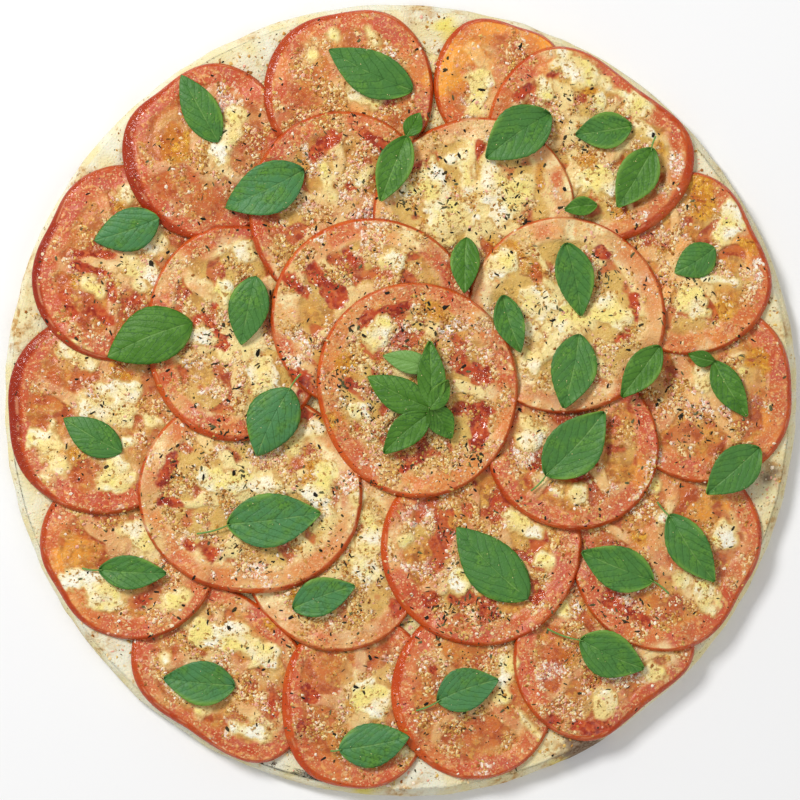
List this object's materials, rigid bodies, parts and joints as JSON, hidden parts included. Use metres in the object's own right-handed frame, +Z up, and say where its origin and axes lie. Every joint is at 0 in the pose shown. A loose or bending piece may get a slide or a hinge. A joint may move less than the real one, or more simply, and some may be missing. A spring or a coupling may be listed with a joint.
{
  "type": "margherita pizza",
  "caption": "Thin round pizza with a low browned rim, melted cheese, overlapping baked tomato slices, fresh basil leaves, dried herb flakes and grated cheese.",
  "frame": {"origin": "under the middle of the pizza, on the surface that it lies on", "axes": "+Z up out of the topped face, +Y towards the top of the picture, +X to its right"},
  "size_m": [0.2988, 0.2988, 0.0211],
  "materials": {
    "crust": null,
    "cheese": "melted mozzarella, soft and slightly oily, cream with yellow oil and tan baked spots",
    "tomato": "baked tomato slice, wet and soft, orange-red skin, salmon flesh, sunk seed hollows, herb flakes and grated cheese stuck on",
    "basil": "fresh basil leaf, mid green with paler veins and a soft waxy sheen"
  },
  "bodies": {
    "root": {"crust": "crust", "cheese": "cheese", "tomato_01": "tomato", "tomato_02": "tomato", "tomato_03": "tomato", "tomato_04": "tomato", "tomato_05": "tomato", "tomato_06": "tomato", "tomato_07": "tomato", "tomato_08": "tomato", "tomato_09": "tomato", "tomato_10": "tomato", "tomato_11": "tomato", "tomato_12": "tomato", "tomato_13": "tomato", "tomato_14": "tomato", "tomato_15": "tomato", "tomato_16": "tomato", "tomato_17": "tomato", "tomato_18": "tomato", "tomato_19": "tomato", "tomato_20": "tomato", "tomato_21": "tomato", "tomato_22": "tomato", "tomato_23": "tomato", "tomato_24": "tomato", "basil_01": "basil", "basil_02": "basil", "basil_03": "basil", "basil_04": "basil", "basil_05": "basil", "basil_06": "basil", "basil_07": "basil", "basil_08": "basil", "basil_09": "basil", "basil_10": "basil", "basil_11": "basil", "basil_12": "basil", "basil_13": "basil", "basil_14": "basil", "basil_15": "basil", "basil_16": "basil", "basil_17": "basil", "basil_18": "basil", "basil_19": "basil", "basil_20": "basil", "basil_21": "basil", "basil_22": "basil", "basil_23": "basil", "basil_24": "basil", "basil_25": "basil", "basil_26": "basil", "basil_27": "basil", "basil_28": "basil", "basil_29": "basil", "basil_30": "basil", "basil_31": "basil", "basil_32": "basil", "basil_sprig": "basil"}
  },
  "joints": []
}
